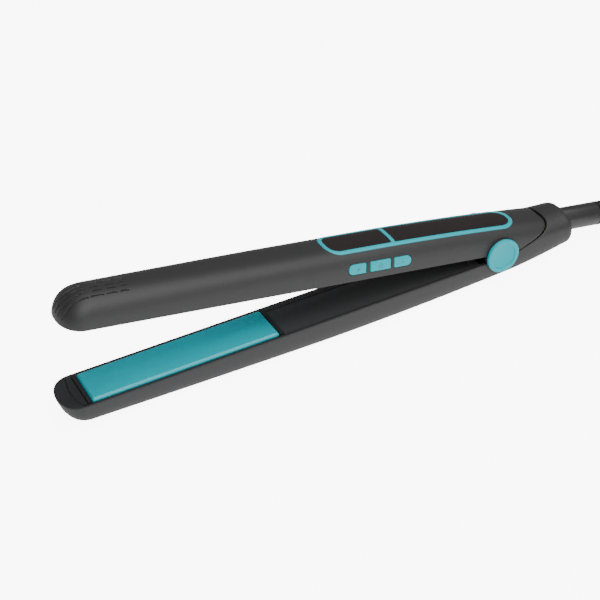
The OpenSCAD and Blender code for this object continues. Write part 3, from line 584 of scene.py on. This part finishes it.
upper_raw = arch(upper_size, leaning, np.full((len(lean), 1), RIM), upper_v)
sink = edge_drop(upper_raw, np.concatenate([[(-5, RIM)], upper_edge])) + grip_grooves(upper_raw, 6.0, 0.85)
upper_done = upper_raw - outward(upper_size, upper_raw) * sink[..., None]
upper_strips = rim_strips(upper_done, upper_done[-1], upper_raw[-1], upper_size)
upper_shell = skin("upper_arm_shell", [opened(g) for g in [upper_done] + upper_strips])
shell_wall(upper_shell, "upper_arm", "shell_grey", soft_grey, "upper_shell")

BUTTON_Z, BUTTON_R = 8.6, 2.8
BUTTONS = {"plus_button": (160.35, 10.6), "power_button": (173.45, 12.6), "minus_button": (188.15, 10.6)}


def button_outline(name, grow, count=16):
    """Outline of a button seen from its side, as a closed row of points: a rectangle with round corners,
    which at the outer end of the first and the last button are half circles."""
    x0, length = BUTTONS[name]
    x1, r = x0 + length, BUTTON_R + grow
    corner = {"plus_button": (r, 0.6 + grow), "power_button": (0.6 + grow, 0.6 + grow),
              "minus_button": (0.6 + grow, r)}[name]
    a = np.linspace(0, np.pi / 2, count)
    turn = []
    for start, side_x, side_z, round_r in (
            (0, 1, 1, corner[1]), (1, -1, 1, corner[0]), (2, -1, -1, corner[0]), (3, 1, -1, corner[1])):
        x = (x1 + grow if side_x > 0 else x0 - grow) - side_x * round_r
        z = BUTTON_Z + side_z * (r - round_r)
        angle = a + start * np.pi / 2
        turn.append(np.stack([x + round_r * np.cos(angle), z + round_r * np.sin(angle)], 1))
    outline = np.concatenate(turn)
    return np.concatenate([outline, outline[:1]])


def prism(name, outline, y0, y1):
    """A closed prism along Y over an outline in the XZ plane, used as a cutter."""
    middle = outline.mean(0)
    rows = [np.stack([0 * outline[:, 0] + p[0], 0 * outline[:, 0] + y, 0 * outline[:, 0] + p[1]], 1) if flat
            else np.stack([outline[:, 0], 0 * outline[:, 0] + y, outline[:, 1]], 1)
            for p, y, flat in (
                (middle, y0, True), (None, y0, False), (None, y1, False), (middle, y1, True))]
    return skin(name, [opened(np.stack(rows))])


circle_turn = np.linspace(0, 2 * np.pi, 73)
bore = np.stack([PIVOT_X + BORE_R * np.cos(circle_turn), PIVOT_Z + BORE_R * np.sin(circle_turn)], 1)
cutters = [prism("cut_" + name, button_outline(name, BUTTON_GAP), -22, -11) for name in BUTTONS]
cutters += [prism("cut_near", bore, -22, -12.5), prism("cut_far", bore, 12.5, 22)]
for cutter in cutters:
    cut = upper_shell.modifiers.new(cutter.name, "BOOLEAN")
    cut.operation = "DIFFERENCE"
    cut.solver = "MANIFOLD"
    cut.object = cutter
bpy.context.view_layer.update()
cut_mesh = bpy.data.meshes.new_from_object(upper_shell.evaluated_get(bpy.context.evaluated_depsgraph_get()))
upper_shell.modifiers.clear()
upper_shell.data = cut_mesh
upper_shell.data.set_sharp_from_angle(angle=np.radians(40))
for cutter in cutters:
    bpy.data.objects.remove(cutter)

# Nose inserts: thin crescents in the same plastic, pressed into the arms between the solid lip and the
# plate's carrier. A fine joint shows round their curved front.
INSERT_REAR, INSERT_HALF, INSERT_DEPTH = 12.6, 12.9, 2.4


def crescent(turn):
    """Top of the insert: rows from its arc-shaped front edge back to its straight rear, columns from side to
    side, with edges rounded by 0.25 mm. turn is 1 for the upper arm and -1 for the lower."""
    u = np.linspace(-1, 1, 61)
    y = INSERT_HALF * u
    front = INSERT_MIDDLE - np.sqrt(INSERT_R ** 2 - y ** 2)
    profile = np.array([(0, INSERT_DEPTH), (0, 0.25), (0.03, 0.12), (0.1, 0.04), (0.25, 0)])
    t = np.linspace(0, 1, 6)[1:-1]
    rows = [np.stack([front + d, y, 0 * y + RIM + s], 1) for d, s in profile]
    rows += [np.stack([front + 0.25 + (INSERT_REAR - front - 0.25) * k, y, 0 * y + RIM], 1) for k in t]
    rows += [np.stack([0 * y + INSERT_REAR, y, 0 * y + RIM + s], 1) for s in (0, INSERT_DEPTH)]
    rows += [rows[0]]
    return np.stack(rows) * [1, 1, turn]


for turn, place, body, node in ((-1, to_part, "lower_arm", "lower_nose_insert"),
                                (1, opened, "upper_arm", "upper_nose_insert")):
    fit(skin(node + "_piece", [place(crescent(turn))]), body, "shell_grey", soft_grey, node)

# Trim: a bright cyan ring in gloss plastic, laid into the top of the upper arm, with a bar across it that
# parts a short gloss window from a long gloss panel behind. Both are held under the ring's edge.
RING_X0, RING_X1, RING_W, RING_LINE = 150.4, 271.1, 20.8, 2.4
FRONT_CORNER, REAR_CORNER = 8, 10
BAR_X = 190.5
LAP = 0.4              # how far a panel runs in under the ring


def top_z(x, y):
    """Height of the upper arm's top over a point: h (1 - |y/w|^n)^(1/n)."""
    w, h, n = upper_size(x)
    return h * (1 - (np.abs(y) / w) ** n) ** (1 / n)


def ring_path(inset, count):
    """The ring's outline moved inwards, as its four round corners."""
    a = np.linspace(0, np.pi / 2, count)
    half = RING_W / 2 - inset
    corners = []
    for start, sx, sy, corner in ((0, 1, 1, REAR_CORNER), (1, -1, 1, FRONT_CORNER),
                                  (2, -1, -1, FRONT_CORNER), (3, 1, -1, REAR_CORNER)):
        r = corner - inset
        x = (RING_X1 - inset if sx > 0 else RING_X0 + inset) - sx * r
        angle = a + start * np.pi / 2
        corners.append(np.stack([x + r * np.cos(angle), sy * (half - r) + r * np.sin(angle)], 1))
    return corners


def even_path(corners, count):
    """Joins the corners with their straights and spreads points evenly enough along them."""
    pieces = []
    for k in range(4):
        pieces.append(corners[k])
        a, b = corners[k][-1], corners[(k + 1) % 4][0]
        t = np.linspace(0, 1, count)[1:-1, None]
        pieces.append(a + (b - a) * t)
    path = np.concatenate(pieces)
    return np.concatenate([path, path[:1]])


TRIM_PROFILE = np.array([
    (0, -1.2), (0, -0.05), (0.05, 0.12), (0.16, 0.23), (0.4, 0.3), (1.2, 0.33), (2.0, 0.3), (2.24, 0.23),
    (2.35, 0.12), (RING_LINE, -0.05), (RING_LINE, -1.2), (0, -1.2)])


def trim_loop():
    """The ring: a softly crowned profile 2.4 mm wide, proud by 0.3 mm, carried along the outline and laid
    on the arm's top."""
    rows = []
    for inset, proud in TRIM_PROFILE:
        path = even_path(ring_path(inset, 14), 60)
        rows.append(np.stack([path[:, 0], path[:, 1], top_z(path[:, 0], path[:, 1]) + proud], 1))
    return np.stack(rows)


def trim_bar():
    """The bar across, with the same profile, from side to side under the ring's line."""
    y = np.linspace(-RING_W / 2 + 1.4, RING_W / 2 - 1.4, 41)
    rows = [np.stack([0 * y + BAR_X - 1.2 + d, y, top_z(BAR_X, y) + proud], 1) for d, proud in TRIM_PROFILE]
    return np.stack(rows)


def cap_ends(grid):
    """Closes the two ends of a profile carried along an open path, with a fan from the end's middle."""
    ends = []
    for k in (0, -1):
        ring = grid[:, k]
        middle = np.broadcast_to(ring[:-1].mean(0), ring.shape)
        ends.append(np.stack([ring, middle], 1))
    return [grid] + ends


cyan_gloss = surface_finish("cyan_gloss", (0.0, 0.38, 0.44), 0.34, grain=1500, relief=0.000004, mottle=0.02,
                            specular=0.25)
ring_grids = [opened(g) for g in [trim_loop()] + cap_ends(trim_bar())]
fit(skin("trim_ring_line", ring_grids), "upper_arm", "cyan_gloss", cyan_gloss, "trim_ring")


def panel(x0, x1, front_r, rear_r):
    """A gloss panel that follows the arm's top between two stations, as wide as the ring's inside, with
    corners rounded in front or behind, and laps in under the ring."""
    u = np.concatenate([[-1], np.linspace(-0.999, 0.999, 41), [1]])[None, :]
    x = np.concatenate([x0 + front_r * np.linspace(0, 1, 16) ** 2,
                        np.linspace(x0 + front_r, x1 - rear_r, 40)[1:-1],
                        x1 - rear_r * np.linspace(1, 0, 16) ** 2])[:, None]
    half = RING_W / 2 - RING_LINE + LAP
    front = front_r - np.sqrt(np.clip(front_r ** 2 - np.clip(x0 + front_r - x, 0, front_r) ** 2, 0, None))
    rear = rear_r - np.sqrt(np.clip(rear_r ** 2 - np.clip(x - x1 + rear_r, 0, rear_r) ** 2, 0, None))
    y = u * (half - front - rear)
    return np.stack([x + 0 * y, y, top_z(x, y) + 0.06], -1)


panel_gloss = surface_finish("panel_gloss", (0.022, 0.018, 0.018), 0.16, grain=900, relief=0.000003,
                             mottle=0.1, specular=0.4)
for name, node, x0, x1, front_r, rear_r in (
        ("display_window_lens", "display_window", RING_X0 + RING_LINE - LAP, BAR_X - 0.8, 6.0, 0.5),
        ("rear_gloss_panel", "rear_panel", BAR_X + 0.8, RING_X1 - RING_LINE + LAP, 0.5, 8.0)):
    lens = skin(name, [opened(panel(x0, x1, front_r, rear_r))])
    lens_wall = lens.modifiers.new("wall", "SOLIDIFY")
    lens_wall.thickness = 0.0010
    lens_wall.offset = -1
    fit(lens, "upper_arm", "panel_gloss", panel_gloss, node)

# Buttons: three pushers in the ring's cyan plastic, in a row on the near side, crowned and standing 0.4 mm
# out of the arm, each kept in by a flange behind the wall. Their signs in darker teal are a plus, a power
# sign and a minus.
FLANGE_Y, FLANGE_BACK = 12.3, 11.8
CROWN = (              # inset from the outline and height over the arm's side
    (0, -0.1), (0.04, 0.1), (0.15, 0.25), (0.32, 0.35), (0.55, 0.4), (1.4, 0.46), (2.2, 0.5), (2.8, 0.52))


def side_y(x, z):
    """Distance of the upper arm's side from the middle: w (1 - |z/h|^n)^(1/n)."""
    w, h, n = upper_size(x)
    return w * (1 - (np.abs(z) / h) ** n) ** (1 / n)


def pusher(name):
    """Rows shrink the outline towards its middle line. The height over the arm's side is that of a rounded
    edge of 0.5 mm and a crown of 0.12 mm; the first rows go down into the arm, out to a thin flange and
    close behind."""
    x0, length = BUTTONS[name]
    outline = button_outline(name, 0)
    spine = np.stack([np.clip(outline[:, 0], x0 + BUTTON_R, x0 + length - BUTTON_R),
                      0 * outline[:, 1] + BUTTON_Z], 1)
    wide = button_outline(name, 0.7)
    rows = [np.stack([line[:, 0], 0 * line[:, 0] - y, line[:, 1]], 1) for line, y in (
        (spine, FLANGE_BACK), (wide, FLANGE_BACK), (wide, FLANGE_Y), (outline, FLANGE_Y))]
    for inset, rise in CROWN:
        share = inset / BUTTON_R
        p = outline + (spine - outline) * share
        rows.append(np.stack([p[:, 0], -side_y(p[:, 0], p[:, 1]) - rise, p[:, 1]], 1))
    return np.stack(rows)


def bar_sign(x, z, half_x, half_z, rise):
    """A flat-topped rounded bar laid on a button."""
    a = np.linspace(0, 2 * np.pi, 49)
    ring = (np.abs(np.cos(a) / half_x) ** 6 + np.abs(np.sin(a) / half_z) ** 6) ** (-1 / 6)
    rows = []
    for share, up in ((0, rise - 0.3), (1, rise - 0.3), (1, rise - 0.03), (0.93, rise), (0, rise)):
        px, pz = x + share * ring * np.cos(a), z + share * ring * np.sin(a)
        rows.append(np.stack([px, -side_y(px, pz) - up, pz], 1))
    return np.stack(rows)


def arc_sign(x, z, radius, half_line, a0, a1, rise):
    """A line of constant width along an arc, flat on top, laid on a button."""
    a = np.linspace(a0, a1, 41)
    rows = []
    for d, up in ((-half_line, rise - 0.3), (-half_line, rise), (half_line, rise),
                  (half_line, rise - 0.3), (-half_line, rise - 0.3)):
        px, pz = x + (radius + d) * np.sin(a), z + (radius + d) * np.cos(a)
        rows.append(np.stack([px, -side_y(px, pz) - up, pz], 1))
    return np.stack(rows)


sign_teal = surface_finish("sign_teal", (0.012, 0.22, 0.26), 0.4, grain=1500, relief=0.000004)
PLUS_X, POWER_X, MINUS_X = 165.9, 179.75, 193.2
SIGN_HALF, LINE_HALF, SIGN_RISE = 1.15, 0.24, 0.6
signs = {
    "plus_button": [bar_sign(PLUS_X, BUTTON_Z, SIGN_HALF, LINE_HALF, SIGN_RISE),
                    bar_sign(PLUS_X, BUTTON_Z, LINE_HALF, SIGN_HALF, SIGN_RISE)],
    "power_button": [bar_sign(POWER_X, BUTTON_Z + 0.85, 0.2, 0.7, SIGN_RISE)]
    + cap_ends(arc_sign(POWER_X, BUTTON_Z - 0.05, SIGN_HALF, 0.2, 0.6, 2 * np.pi - 0.6, SIGN_RISE)),
    "minus_button": [bar_sign(MINUS_X, BUTTON_Z, SIGN_HALF, LINE_HALF, SIGN_RISE)]}
for name in BUTTONS:
    fit(skin(name + "_pusher", [opened(pusher(name))]), name, "cyan_gloss", cyan_gloss, name)
    fit(skin(name + "_sign", [opened(g) for g in signs[name]]), name, "cyan_gloss", sign_teal)

# Hinge: two dished caps in the same cyan plastic, snapped on over the pin's ends. Each sits on a low round
# cheek of the lower arm that fills the bore in the upper arm.
CAP_R, BOWL_EDGE, BOWL_R = 10.05, 7.4, 22
CAP_Y, CHEEK_Y = 15.66, 12.9           # from the middle to the cap's back and to the cheek's foot


def turned_round(profile, centre, axis_u, axis_v, axis, columns=97):
    """A profile of (radius, height) points carried round an axis; the first and last points lie on it."""
    a = np.linspace(0, 2 * np.pi, columns)[None, :, None]
    r, s = profile[:, 0][:, None, None], profile[:, 1][:, None, None]
    outwards = np.cos(a) * np.array(axis_u) + np.sin(a) * np.array(axis_v)
    return np.array(centre) + r * outwards + s * np.array(axis)


bowl_r = np.linspace(0, BOWL_EDGE, 24)
bowl = np.stack([bowl_r, 0.15 + BOWL_R - np.sqrt(BOWL_R ** 2 - bowl_r ** 2)], 1)
cap_profile = np.concatenate([bowl, [
    (7.46, 1.5), (7.6, 2.0), (7.75, 2.12), (8.6, 2.16), (9.4, 2.12), (9.75, 2.0), (9.96, 1.76),
    (CAP_R, 1.4), (CAP_R, 0.5), (10.0, 0.08), (9.85, 0), (0, 0)]])
cheek_turn = np.linspace(0, np.pi / 2, 6)
cheek_edge = np.stack([9.1 + 0.5 * np.sin(cheek_turn), 2.25 + 0.5 * np.cos(cheek_turn)], 1)
cheek_profile = np.concatenate([[(0, 2.75)], cheek_edge, [(9.6, 0), (0, 0)]])
hinge_middle = to_part(np.array([PIVOT_X, 0, PIVOT_Z]))
for node, side in (("hinge_cap_near", -1), ("hinge_cap_far", 1)):
    axes = (1, 0, 0), (0, 0, 1), (0, side, 0)
    cap = turned_round(cap_profile, hinge_middle + [0, side * CAP_Y, 0], *axes)
    fit(skin(node + "_dish", [cap], 60), "lower_arm", "cyan_gloss", cyan_gloss, node)
    cheek = turned_round(cheek_profile, hinge_middle + [0, side * CHEEK_Y, 0], *axes)
    fit(skin(node.replace("cap", "cheek"), [cheek]), "lower_arm", "shell_grey", soft_grey)

# Heater plates: aluminium with a coloured ceramic coat, bevelled along their edges, their corners eased.
# They float in the arms on rubber pads.
PLATE_X0, PLATE_X1, PLATE_HALF = 15.3, 121.3, 12.5
PLATE_PROFILE = (      # inset from the outline and height over the meeting plane; None is the middle line
    (None, 2.75), (0.2, 2.75), (0, 2.55), (0, 1.45), (0.04, 1.3), (0.14, 1.12), (0.86, 0.36), (1.0, 0.24),
    (1.2, 0.17), (1.45, 0.15), (None, 0.15))


def plate_slab(turn):
    """Rows are rounded rectangles, each further in or out: the back, the side, the bevel of 1.1 mm with
    eased edges, the face, and last a line along the middle. turn is 1 for the upper plate, -1 for the
    lower."""
    def outline(inset):
        r = max(1.6 - inset, 0.15)
        a = np.linspace(0, np.pi / 2, 9)
        parts = []
        for start, sx, sy in ((0, 1, 1), (1, -1, 1), (2, -1, -1), (3, 1, -1)):
            x = (PLATE_X1 - inset if sx > 0 else PLATE_X0 + inset) - sx * r
            angle = a + start * np.pi / 2
            y = sy * (PLATE_HALF - inset - r)
            parts.append(np.stack([x + r * np.cos(angle), y + r * np.sin(angle)], 1))
        return even_path(parts, 30)
    rows = []
    for inset, z in PLATE_PROFILE:
        line = outline(0 if inset is None else inset)
        if inset is None:
            x = np.clip(line[:, 0], PLATE_X0 + PLATE_HALF, PLATE_X1 - PLATE_HALF)
            line = np.stack([x, 0 * line[:, 1]], 1)
        rows.append(np.stack([line[:, 0], line[:, 1], 0 * line[:, 0] + z], 1))
    return np.stack(rows) * [1, 1, turn]


plate_coat = surface_finish("plate_coat", (0.0, 0.42, 0.49), 0.36, grain=1800, relief=0.000003, mottle=0.03)
for arm, turn, place in (("lower", -1, to_part), ("upper", 1, opened)):
    slab = skin(arm + "_plate_slab", [place(plate_slab(turn))], 30)
    fit(slab, arm + "_plate_unit", "plate_teal", plate_coat, arm + "_plate")

# Carriers and covers: moulded black trays that are screwed into the arms and hold the plates, and dark inner
# covers that clip in between the plates and the hinge. Their CAD solids have the right shape.
frame_black = surface_finish("frame_black", (0.020, 0.020, 0.021), 0.4, grain=2600, relief=0.00001,
                             mottle=0.1)
cover_grey = surface_finish("cover_grey", (0.045, 0.045, 0.047), 0.42, grain=2600, relief=0.00001,
                            mottle=0.08)
dress(frame_black, "lower_plate_carrier", "upper_plate_carrier")
dress(cover_grey, "lower_inner_cover", "upper_inner_cover")

# Swivel: the cord's neck is a turned piece in smooth dark plastic. Its ball sits in a split clamp in the
# tail, and its stub carries two contact rings.
swivel_axis = np.array([np.cos(droop), 0, -np.sin(droop)])
swivel_up = np.array([np.sin(droop), 0, np.cos(droop)])
BALL_R, NECK_R = 4.6, 6.85
NECK_FRONT, NECK_BACK = 7.2, 33.4      # from the ball's middle
ball_turn = np.linspace(np.pi - 0.6, 0.83, 18)
ball_profile = np.stack([BALL_R * np.sin(ball_turn), BALL_R * np.cos(ball_turn)], 1)
neck_turn = np.linspace(0, np.pi / 2, 7)
neck_front = np.stack([NECK_R - 0.5 + 0.5 * np.sin(neck_turn),
                       NECK_FRONT + 0.5 - 0.5 * np.cos(neck_turn)], 1)
neck_back = np.stack([NECK_R - 0.7 + 0.7 * np.cos(neck_turn),
                      NECK_BACK - 0.7 + 0.7 * np.sin(neck_turn)], 1)
neck_profile = np.concatenate([
    [(0, -15), (2.3, -15), (2.6, -14.7)], ball_profile, [(3.4, 3.3), (3.4, 7.0)], neck_front, neck_back,
    [(0, NECK_BACK)]])
ball_middle = to_part(np.array([BALL_X, 0, BALL_Z]))
neck = turned_round(neck_profile, ball_middle, (0, 1, 0), swivel_up, swivel_axis)
neck_grey = surface_finish("neck_grey", (0.022, 0.022, 0.023), 0.38, grain=3000, relief=0.000006,
                           mottle=0.06)
fit(skin("swivel_neck", [neck]), "cord_swivel", "neck_grey", neck_grey, "swivel_stem")

# Inner works: heaters, rubber pads, screws, sleeved leads, the swivel's nylon clamp and brass contacts, and
# the control board, all hidden until the iron is taken apart. Their CAD solids stay, each with its finish.
screw_steel = surface_finish("screw_steel", (0.55, 0.55, 0.56), 0.32, metallic=1.0, grain=1200,
                             relief=0.000004)
pad_rubber = surface_finish("pad_rubber", (0.42, 0.09, 0.05), 0.6, grain=1600, relief=0.00002)
heater_metal = surface_finish("heater_metal", (0.68, 0.66, 0.60), 0.38, metallic=1.0, grain=1400,
                              relief=0.00001)
lead_red = surface_finish("lead_red", (0.10, 0.014, 0.010), 0.55, grain=2400, relief=0.00002)
clamp_nylon = surface_finish("clamp_nylon", (0.68, 0.67, 0.62), 0.45, grain=1800, relief=0.00001)
contact_brass = surface_finish("contact_brass", (0.72, 0.52, 0.20), 0.3, metallic=1.0, grain=1500,
                               relief=0.000004)
board_green = surface_finish("board_green", (0.02, 0.11, 0.045), 0.35, grain=1200, relief=0.000006, coat=0.3)
dress(screw_steel, "lower_carrier_screws", "upper_carrier_screws", "swivel_screws", "hinge_pin",
      "hinge_spring")
dress(pad_rubber, "lower_plate_pads", "upper_plate_pads")
dress(heater_metal, "lower_heater", "upper_heater", "thermal_fuse")
dress(lead_red, "lower_heater_leads", "upper_heater_leads")
dress(clamp_nylon, "swivel_cradle", "swivel_cover", "tact_switches")
dress(contact_brass, "contact_brushes", "swivel_rings")
dress(board_green, "control_board")
dress(panel_gloss, "display_module")

# The room: a plain pale table that glows softly under a dim white surround. A large softbox hangs overhead
# and another high in front, and a faint one stands low on the button side.
floor_mesh = bpy.data.meshes.new("floor")
floor_mesh.from_pydata([(-4, -4, 0), (4, -4, 0), (4, 4, 0), (-4, 4, 0)], [], [(0, 1, 2, 3)])
floor = bpy.data.objects.new("floor", floor_mesh)
bpy.context.scene.collection.objects.link(floor)
pale = surface_finish("pale_table", (0.85, 0.85, 0.85), 0.7, grain=200, relief=0.00001, mottle=0.005)
table_shader = pale.node_tree.nodes["Principled BSDF"]
table_shader.inputs["Emission Color"].default_value = (1, 1, 1, 1)
# Its glow is 0.8 on the iron, and 8 where the camera looks straight at it, so that it reads as white.
ray = pale.node_tree.nodes.new("ShaderNodeLightPath")
glow = pale.node_tree.nodes.new("ShaderNodeMapRange")
glow.inputs["To Min"].default_value = 0.8
glow.inputs["To Max"].default_value = 8.0
pale.node_tree.links.new(ray.outputs["Is Camera Ray"], glow.inputs["Value"])
pale.node_tree.links.new(glow.outputs["Result"], table_shader.inputs["Emission Strength"])
floor_mesh.materials.append(pale)
world = bpy.data.worlds.new("room")
world.use_nodes = True
world.node_tree.nodes["Background"].inputs["Color"].default_value = (1, 1, 1, 1)
world.node_tree.nodes["Background"].inputs["Strength"].default_value = 0.12
bpy.context.scene.world = world


def softbox(name, place, aim, width, height, power):
    """A rectangular area light that faces the point aim."""
    light = bpy.data.lights.new(name, "AREA")
    light.shape = "RECTANGLE"
    light.size, light.size_y, light.energy = width, height, power
    box = bpy.data.objects.new(name, light)
    bpy.context.scene.collection.objects.link(box)
    back = np.array(place, float) - np.array(aim, float)
    back /= np.linalg.norm(back)
    side = np.cross([0, 0, 1], back)
    side /= np.linalg.norm(side)
    rise = np.cross(back, side)
    rows = [(s, r, b, p) for s, r, b, p in zip(side, rise, back, place)]
    box.matrix_world = Matrix(rows + [(0, 0, 0, 1)])
    return box


softbox("near_softbox", (-0.3, -1.6, 0.7), (0, 0, 0.03), 1.6, 0.8, 2)
softbox("top_softbox", (0.35, -0.2, 1.5), (0, 0, 0), 1.8, 1.4, 26)
softbox("front_softbox", (0.0, -1.0, 1.15), (0, 0, 0), 1.8, 1.0, 16)
